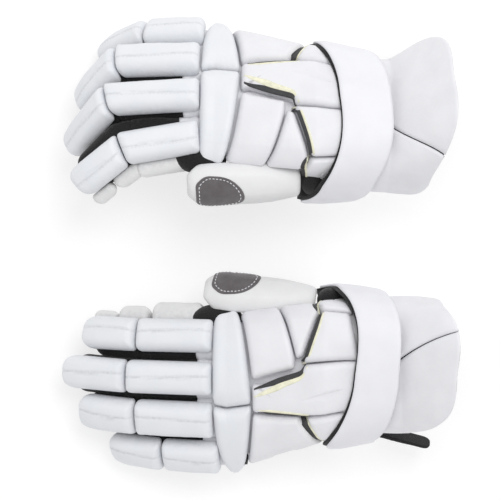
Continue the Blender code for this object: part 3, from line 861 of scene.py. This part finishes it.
def add_sleeve(
    name, width, before, after, span, look, grow, thick, lean, web, palm=None, fold=0.0, dome=False
):
    """Tube of cloth round a finger over a span of x; palm=(start, end) keeps only those angles.

    web(x) is how far it reaches towards the next finger.
    """
    first, last = span
    before, sign = proper(before)
    after, _ = proper(after)
    outer, inner = [], []
    count = max(10, round((last - first) / 2.2))
    for i in range(count + 1):
        s = between(first, last, i / count)
        close = 1.0
        if dome:
            left = max(0.0, last - s)
            close = math.sqrt(max(0.12, 1 - max(0, 1 - left / 14) ** 2.2))
        ripple = fold * math.sin(s / 1.35) * math.exp(-((s / 11) ** 2))
        for rings, inset in ((outer, 0), (inner, thick)):
            angles = palm or (0.0, 360.0)
            section = []
            for y, z in stall_outline(width, grow + ripple - inset, *angles):
                uneven = 1 + 0.02 * noise.noise(Vector((s / 9, y / 6, z / 6)))
                reach = web(s) * smooth(-y / 8) * close
                z = (z + HINGE_ABOVE_STALL) * close * uneven - HINGE_ABOVE_STALL
                section.append((y * close * uneven - reach, z - reach * 0.35))
            rings.append(sleeve_ring(sign, s, before, after, section, lean))
    identity = Matrix.Identity(4)
    if palm:
        return add_loft(name, [a + b[::-1] for a, b in zip(outer, inner)], identity, look)
    return add_tube(name, outer, inner, identity, look)


def finger_surface(start, end, length, lean):
    """surface(u, v, height) of a finger piece: u along it, v across it."""

    def surface(u, v, height):
        droop = 3.2 * (abs(v) / 14) ** 2.4
        y, z = leaned(v, STALL_HEIGHT / 2 - HINGE_ABOVE_STALL + 0.3 - droop + height, lean)
        return mm(between(start(y, z), end(y, z), u / length), y, z)

    return surface


def add_finger_pad(side, finger, part, frame_at, start, end, length, lean):
    """One padded piece of a finger: white leather over foam, with a sewn line along it."""
    tip = part == "tip"
    half = FINGERS[finger][2] / 2
    far, near = (11, 4) if tip else (5, 4)
    outline = rounded([(0, -half, near), (0, half, near), (length, half, far), (length, -half, far)])
    seed = FINGERS[finger][0] * 1.3 + length

    def thick(u, v):
        taper = 1 - 0.22 * smooth((u / length - 0.6) / 0.4) if tip else 1
        return PAD_THICK * taper * (0.97 + 0.03 * math.sin(u / length * math.pi))

    def wrinkle(u, v):
        ends = math.exp(-u / 7) if tip else math.exp(-(length - u) / 6)
        return 1.1 * ends * smooth(abs(v) / 10)

    wander = 1.5 if finger in ("index", "middle") else 3.5
    bends = [(length * t, wander + 1.3 * math.sin(3 * t + seed)) for t in (0.02, 0.3, 0.6, 0.98)]
    line = smooth_path(bends, 2.0)
    surface = finger_surface(start, end, length, lean)
    pad = Pad(outline, surface, thick, 6.8, 0.6, [(line, 0.55, 0.8)], wrinkle, seed)
    body = f"{side}_{finger}_{part}"
    piece = pad.build(f"{body}_cushion", frame_at, "pale_leather")
    finish_piece(piece, body, [f"{body}_pad"])
    return piece, line, surface


def add_finger(side, finger, glove):
    arch, _, width, base_length, tip_length = FINGERS[finger]
    width += SLEEVE_SPARE
    pitch, spread, bend, swing = GLOVES[side]["curl"][finger]
    lean = arch * (1 - HINGE_TILT)
    root, base, tip = finger_frames(side, finger, glove)
    name = f"{side}_{finger}"
    hand, base_body, tip_body = f"{side}_hand", f"{name}_base", f"{name}_tip"

    base_start = mitre(0, 1, half_bend(pitch, spread, of_next=True), -0.3)
    base_end = mitre(base_length, -1, half_bend(bend, swing))
    tip_start = mitre(0, 1, half_bend(bend, swing, of_next=True))

    def tip_end(y, z):
        return tip_length + 0.25 * z - 5

    for part, at, start, end, length in (
        ("base", base, base_start, base_end, base_length),
        ("tip", tip, tip_start, tip_end, tip_length - 2),
    ):
        piece, line, surface = add_finger_pad(side, finger, part, at, start, end, length, lean)
        cover = Cover([piece], at)
        row = resampled([p + np.array((0, STITCHES_ASIDE)) for p in line[2:-2]], 0.5)
        add_stitches(f"{name}_{part}_stitching", cover, surface, row, at, f"{name}_{part}", 1.5, 1.6, 0.16)

    joint = base @ Matrix.Translation(mm(base_length, 0, 0))
    end = tip_length - 5
    widest = WEBS[side][finger]

    def along_base(x):
        return between(min(widest, 3) * smooth((x + 20) / 20), widest, smooth(x / 45))

    def along_tip(x):
        return widest * (1 - 0.35 * smooth(x / end))

    root_ends = (hand, base_body, root @ mm(-9, 0, -8), base @ mm(9, 0, -8))
    middle_ends = (base_body, tip_body, joint @ mm(-9, 0, -8), tip @ mm(9, 0, -8))
    underneath = (205, 335)
    for part, ends, frames, span, look, grow, thick, options in (
        ("base_sleeve", root_ends, (root, base), (-22, base_length - 9), "black_mesh", 0, 1, {"fold": 0.3}),
        ("collar", root_ends, (root, base), (-20, 14), "white_leather", 0.9, 0.8, {"fold": 0.35}),
        (
            "base_palm", root_ends, (root, base), (-24, base_length - 8), "grey_suede", 1, 1.9,
            {"palm": underneath},
        ),
        (
            "tip_sleeve", middle_ends, (joint, tip), (-13, end), "black_mesh", -0.5, 1,
            {"fold": 0.5, "dome": True},
        ),
        (
            "tip_palm", middle_ends, (joint, tip), (-13, end + 1), "grey_suede", 0.6, 1.8,
            {"palm": underneath, "dome": True},
        ),
    ):
        web = along_tip if part.startswith("tip") else along_base
        sleeve = add_sleeve(f"{name}_{part}", width, *frames, span, look, grow, thick, lean, web, **options)
        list(ends)
        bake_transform(sleeve)
        if look == "black_mesh":
            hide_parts(f"{name}_{part.split('_')[0]}_stall")
    if finger == "index":
        add_side_pads(side, base, tip, lean)


def add_side_pads(side, base, tip, lean):
    """Small pads along the thumb side of the index finger."""
    edge = FINGERS["index"][2] / 2 - 0.5

    def surface(u, v, height):
        y, z = leaned(edge + height - 0.02 * (v + 6) ** 2, v, lean)
        return mm(u, y, z)

    for (name, part, first, last, low, high), reach in zip(SIDE_PADS, SIDE_PAD_REACH[side]):
        outline = rounded([(first, low, 7), (last, low, 7), (last, high, 5), (first, high, 5)])
        pad = Pad(outline, surface, lambda u, v: reach, 8, 0.6, seed=first)
        at = base if part == "base" else tip
        piece = pad.build(f"{side}_index_{name}_side_cushion", at, "warm_leather")
        finish_piece(piece, f"{side}_index_{part}")


# --- thumb ----------------------------------------------------------------------------------------------


def thumb_half(x):
    """Half-width of the thumb at x along it: it swells from the hinge and rounds off at the tip."""
    swell = 1 - THUMB_TAPER * (1 - min(1, x / 45)) ** 2
    far = max(0, (x - 0.72 * THUMB_LENGTH) / (0.28 * THUMB_LENGTH))
    return THUMB_HALF * swell * math.sqrt(1 - 0.62 * far**2.4)


def on_thumb(x, angle, offset):
    """Point over the thumb: angle from its back towards its outer side."""
    a = math.radians(angle)
    half = thumb_half(x) + offset
    return mm(x, half * math.sin(a), (half + 1.5) * math.cos(a))


THUMB_ANGLE_MM = 0.3  # length of one degree round the thumb, on its outlines
THUMB_PAD_THICK, THUMB_PAD_END = 5.6, 95
WAYS = [2 * math.pi * k / 24 for k in range(24)]


def over_thumb(u, v, height):
    return on_thumb(u, v / THUMB_ANGLE_MM, height + 0.3)


def thumb_frame(glove):
    turn = rotation(THUMB_YAW, "Z") @ rotation(THUMB_PITCH, "Y")
    return glove @ Matrix.Translation(mm(*THUMB_HINGE)) @ turn


def add_thumb(side, glove):
    body = f"{side}_thumb"
    at = thumb_frame(glove)

    def wrinkle(u, v):
        return 0.9 * math.exp(-(THUMB_PAD_END - u) / 5)

    outline = flat_outline(THUMB_PAD, THUMB_ANGLE_MM)
    pad = Pad(outline, over_thumb, lambda u, v: THUMB_PAD_THICK, 4.5, 0.7, (), wrinkle, seed=41)
    cushion = pad.build(f"{side}_thumb_cushion", at, "warm_leather")
    finish_piece(cushion, body, [f"{side}_thumb_pad"])
    cover = Cover([cushion], at)

    def over_cushion(u, v, height):
        hit, up = cover.under(over_thumb, u, v)
        return hit + up * MM * height

    border = flat_outline(THUMB_PATCH, THUMB_ANGLE_MM)
    patch = Pad(border, over_cushion, lambda u, v: 1.0, 1.2, 0.1, seed=43)
    piece = patch.build(f"{side}_thumb_patch_suede", at, "grey_suede")
    finish_piece(piece, body, [f"{side}_thumb_patch"])
    patch_cover = Cover([piece], at)
    middle = border.mean(axis=0)
    row = middle + (border - middle) * 0.85
    add_stitches(f"{side}_thumb_patch_stitching", patch_cover, over_thumb, row, at, body, 2.0, 1.1, 0.42)

    stations = [3 + 1.9 * i for i in range(47)]
    outer = [[on_thumb(x, 360 * j / 40, -0.2) for j in range(40)] for x in stations]
    lining = [[on_thumb(x, 360 * j / 40, -1.6) for j in range(40)] for x in stations]
    end = 93.5
    for rings, inset in ((outer, 0), (lining, 1.4)):
        rings.append([mm(end - inset, *(p.yz / MM * 0.6)) for p in rings[-1]])
    for name, length, middle, (wide, tall) in THUMB_WEBS:
        web = []
        for i in range(17):
            turn = math.pi * i / 16
            radius = math.sin(turn) + 0.02
            at_ring = Vector(middle) - Vector((length * math.cos(turn), 0, 0))
            ring = [Vector((0, wide * math.cos(a), tall * math.sin(a))) * radius for a in WAYS]
            web.append([mm(*(at_ring + p)) for p in ring])
        finish_piece(add_loft(f"{side}_{name}", web, glove, "black_mesh"), f"{side}_hand")

    stall = add_tube(f"{side}_thumb_sleeve", outer, lining, at, "grey_suede")
    finish_piece(stall, body, [f"{side}_thumb_stall"])


# --- wrist ----------------------------------------------------------------------------------------------


def wrist_point(x, angle, edges, centre_z, heights, exponent):
    """Point of the strap's or the cuff's section: edges towards the little finger and the thumb."""
    a = math.radians(angle)
    middle, half = (edges[0] + edges[1]) / 2, (edges[1] - edges[0]) / 2
    height = heights[0] if math.cos(a) > 0 else heights[1]
    y = middle + half * signed_power(math.sin(a), 2 / exponent)
    return mm(x, y, centre_z + height * signed_power(math.cos(a), 2 / exponent))


def strap_point(x, angle, inset):
    """Point on the strap, which tapers with the wrist."""
    t = min(1, max(0, (STRAP_SPAN[0] - x) / (STRAP_SPAN[0] - STRAP_SPAN[1])))
    edges = between(*STRAP_LITTLE, t) + inset, between(*STRAP_THUMB, t) - inset
    height = between(*STRAP_HALF_HEIGHT, t) - inset
    return wrist_point(x, angle, edges, WRIST_CENTRE_Z, (height, height), SUPERELLIPSE)


def strap_front(angle, on_back):
    """x of the strap's front edge, which slants forward round the sides, most under the thumb."""
    towards_thumb = math.sin(math.radians(angle))
    return between(24 + 4 * towards_thumb, on_back, back_share(angle, 1.1 - 0.3 * towards_thumb))


def strap_rear(angle):
    return between(-20, -44.5, back_share(angle, 0.9))


def band_rings(front, rear, low, high, columns=144, waves=0.0):
    """Rings of a band round the wrist: round-edged between inset low (inside) and high (outside)."""
    rings = []
    rows = 14
    middle = (low + high) / 2
    shares = [i / rows for i in range(rows + 1)]
    for share, inset in [(share, high) for share in shares] + [(share, low) for share in reversed(shares)]:
        ring = []
        for j in range(columns):
            angle = 360 * j / columns
            edge = min(share, 1 - share)
            length = abs(front(angle) - rear(angle))
            roll = smooth(edge * length / 1.6)
            x = between(rear(angle), front(angle), share)
            around = 2 * math.cos(math.radians(angle)), 2 * math.sin(math.radians(angle))
            sway = waves * noise.noise(Vector((x / 30, *around)))
            depth = middle + (inset - middle) * (0.35 + 0.65 * roll) - sway * roll
            ring.append(strap_point(x, angle, depth))
        rings.append(ring)
    return rings


def add_strap(side, glove):
    body = f"{side}_hand"

    def front(angle):
        return strap_front(angle, GLOVES[side]["strap"])

    band = band_rings(front, strap_rear, 3, 0, waves=0.9)
    strap = add_loft(f"{side}_strap_band", band, glove, "white_webbing", True)
    finish_piece(strap, body, [f"{side}_wrist_strap"])

    def lining_front(angle):
        sides = abs(math.sin(math.radians(angle - WRIST_SKEW))) ** 2.5
        return front(angle) + 0.9 + 2.4 * sides

    def lining_rear(angle):
        return strap_rear(angle) + 3

    band = band_rings(lining_front, lining_rear, 5, 2.7)
    finish_piece(add_loft(f"{side}_strap_lining", band, glove, "black_lining", True), body)


def cuff_point(x, angle, inset, rim):
    """Point on the cuff: it flares from the wrist to the rim, which is squarer."""
    t = min(1, max(0, (CUFF_SPAN[0] - x) / (CUFF_SPAN[0] - CUFF_SPAN[1])))
    flare = t**1.3
    edges = between(CUFF_LITTLE, rim[0], t) + inset, between(CUFF_THUMB, rim[1], t) - inset
    heights = between(CUFF_OVER, rim[2], flare) - inset, between(*CUFF_UNDER, flare) - inset
    centre_z = between(WRIST_CENTRE_Z, RIM_CENTRE_Z, flare)
    return wrist_point(x, angle, edges, centre_z, heights, between(SUPERELLIPSE, 3.6, t))


def cuff_front(angle):
    return between(-19, -41, back_share(angle, 0.9))


def cuff_rim(angle):
    """x of the rim: it reaches back furthest over the back of the wrist."""
    towards_thumb = math.sin(math.radians(angle))
    return between(-55 - 4 * towards_thumb, CUFF_SPAN[1], back_share(angle, 0.85 - 0.15 * towards_thumb))


def cuff_panel_rings(rim, first, last, low, high, lift=0.0, margin=0.6, rows=40, columns=90):
    """Rings of a cuff panel between two rolled edges, each (angle at the strap, angle at the rim)."""
    rings = []
    middle = (low + high) / 2
    for i in range(rows + 1):
        t = i / rows
        near_end = min(t, 1 - t) * 50
        outer, inner = [], []
        for j in range(columns + 1):
            share = j / columns
            angle = between(between(*first, t) + margin, between(*last, t) - margin, share)
            x = between(cuff_front(angle), cuff_rim(angle), t)
            near_side = min(share, 1 - share) * 150
            roll = math.sqrt(max(0, 1 - (1 - min(1, min(near_end, near_side) / 2.6)) ** 2))
            fold = 0.7 * noise.noise(Vector((x / 22, angle / 30, 11 + first[0]))) * roll
            crown = lift * smooth(min(near_end, near_side) / 14)
            round_edge = 0.15 + 0.85 * roll
            outer.append(cuff_point(x, angle, middle - (middle - high) * round_edge - fold - crown, rim))
            inner.append(cuff_point(x, angle, middle + (low - middle) * round_edge, rim))
        rings.append(outer + inner[::-1])
    return rings


def add_cuff(side, glove):
    body = f"{side}_cuff"
    rim, slit = GLOVES[side]["rim"], GLOVES[side]["slit"]
    seam = (CUFF_SEAM, CUFF_SEAM)
    around = (CUFF_SEAM + 360, CUFF_SEAM + 360)
    look = "white_leather"
    for name, first, last in (("cuff_back", seam, slit), ("cuff_thumb_side", slit, around)):
        rings = cuff_panel_rings(rim, first, last, 4, 0, 0.8)
        panel = add_loft(f"{side}_{name}_leather", rings, glove, look)
        finish_piece(panel, body, [f"{side}_{name}"])
    lining = cuff_panel_rings(rim, seam, around, 5.4, 4.1, 0, -0.3, 30, 140)
    finish_piece(add_loft(f"{side}_cuff_lining", lining, glove, "black_lining"), body)


def add_tab(side, glove):
    """Hook tape end that stands out from the strap's rear edge."""
    x = strap_rear(TAB_ANGLE) - 1
    here, onward = strap_point(x, TAB_ANGLE, 0), strap_point(x, TAB_ANGLE + 1, 0)
    back = Vector((1, 0, 0))
    outward = back.cross(onward - here).normalized()
    if outward.y > 0:
        outward = -outward
    axes = Matrix((back, outward.cross(back), outward)).transposed().to_4x4()
    at = glove @ Matrix.Translation(here) @ axes @ rotation(TAB_LIFT, "Y")
    half, end = TAB_WIDTH / 2, -TAB_LENGTH
    outline = rounded([(0, -half, 1), (end, -half, 8), (end, half, 8), (0, half, 1)])

    def surface(u, v, height):
        return mm(u, v, height - TAB_THICK)

    pad = Pad(outline, surface, lambda u, v: TAB_THICK - 0.3, 1.2, 0.2, seed=51)
    piece = pad.build(f"{side}_tab_tape", at, "hook_tape")
    finish_piece(piece, f"{side}_tab", [f"{side}_strap_tab"])


# --- the pair -------------------------------------------------------------------------------------------


def glove_frame(side):
    """The frame that the glove is modelled in, from how it lies and from its cuff's hinge."""
    lie = GLOVES[side]
    turn = rotation(180 + lie["yaw"], "Z") @ rotation(lie["pitch"], "Y")
    turn = turn @ Matrix.Diagonal((1, lie["mirror"], 1, 1)) @ rotation(lie["roll"], "X")
    hinge = turn @ mm(CUFF_HINGE_X, (CUFF_LITTLE + CUFF_THUMB) / 2, WRIST_CENTRE_Z)
    return Matrix.Translation(joint_place(f"{side}_cuff_hinge") - hinge) @ turn


def add_glove(side):
    glove = glove_frame(side)
    add_hand(side, glove)
    add_back_pads(side, glove)
    for finger in FINGERS:
        add_finger(side, finger, glove)
    add_thumb(side, glove)
    add_strap(side, glove)
    add_cuff(side, glove)
    add_tab(side, glove)


# --- stage ----------------------------------------------------------------------------------------------


FLOOR_HALF, FLOOR_DROP = 6.0, 0.0003  # m
FLOOR_GREY, FLOOR_GLOW, WORLD_LIGHT = 0.42, 0.64, 0.73
KEY_PLACE = (0.5, 0.9, 2.2)
CAMERA_PLACE, CAMERA_LENS = (-0.0041, -0.0040, 2.56), 211.8


def add_stage():
    """White floor, even white light and a camera straight above the pair."""
    floor_mesh = bpy.data.meshes.new("floor")
    corners = [(x * FLOOR_HALF, y * FLOOR_HALF, -FLOOR_DROP) for x, y in ((-1, -1), (1, -1), (1, 1), (-1, 1))]
    floor_mesh.from_pydata(corners, [], [(0, 1, 2, 3)])
    floor = bpy.data.objects.new("floor", floor_mesh)
    bpy.context.scene.collection.objects.link(floor)
    look = Look("floor_look", 0.9, 0.1)
    look.shader.inputs["Base Color"].default_value = (FLOOR_GREY, FLOOR_GREY, FLOOR_GREY, 1)
    look.shader.inputs["Emission Color"].default_value = (1, 1, 1, 1)
    look.shader.inputs["Emission Strength"].default_value = FLOOR_GLOW
    floor_mesh.materials.append(look.material)

    world = bpy.data.worlds.new("studio")
    world.use_nodes = True
    background = world.node_tree.nodes["Background"]
    background.inputs["Color"].default_value = (1, 1, 1, 1)
    background.inputs["Strength"].default_value = WORLD_LIGHT
    bpy.context.scene.world = world

    data = bpy.data.lights.new("key", "AREA")
    data.energy, data.size = 21, 1.2
    lamp = bpy.data.objects.new("key", data)
    lamp.location = KEY_PLACE
    lamp.rotation_euler = (-Vector(KEY_PLACE)).to_track_quat("-Z", "Y").to_euler()
    bpy.context.scene.collection.objects.link(lamp)

    data = bpy.data.cameras.new("camera")
    data.lens = CAMERA_LENS
    data.sensor_width = 36
    data.clip_end = 20
    camera = bpy.data.objects.new("camera", data)
    camera.location = CAMERA_PLACE
    bpy.context.scene.collection.objects.link(camera)
    bpy.context.scene.camera = camera
    bpy.context.scene.view_settings.view_transform = "Standard"


add_stage()
for glove_side in GLOVES:
    add_glove(glove_side)

bpy.context.view_layer.update()
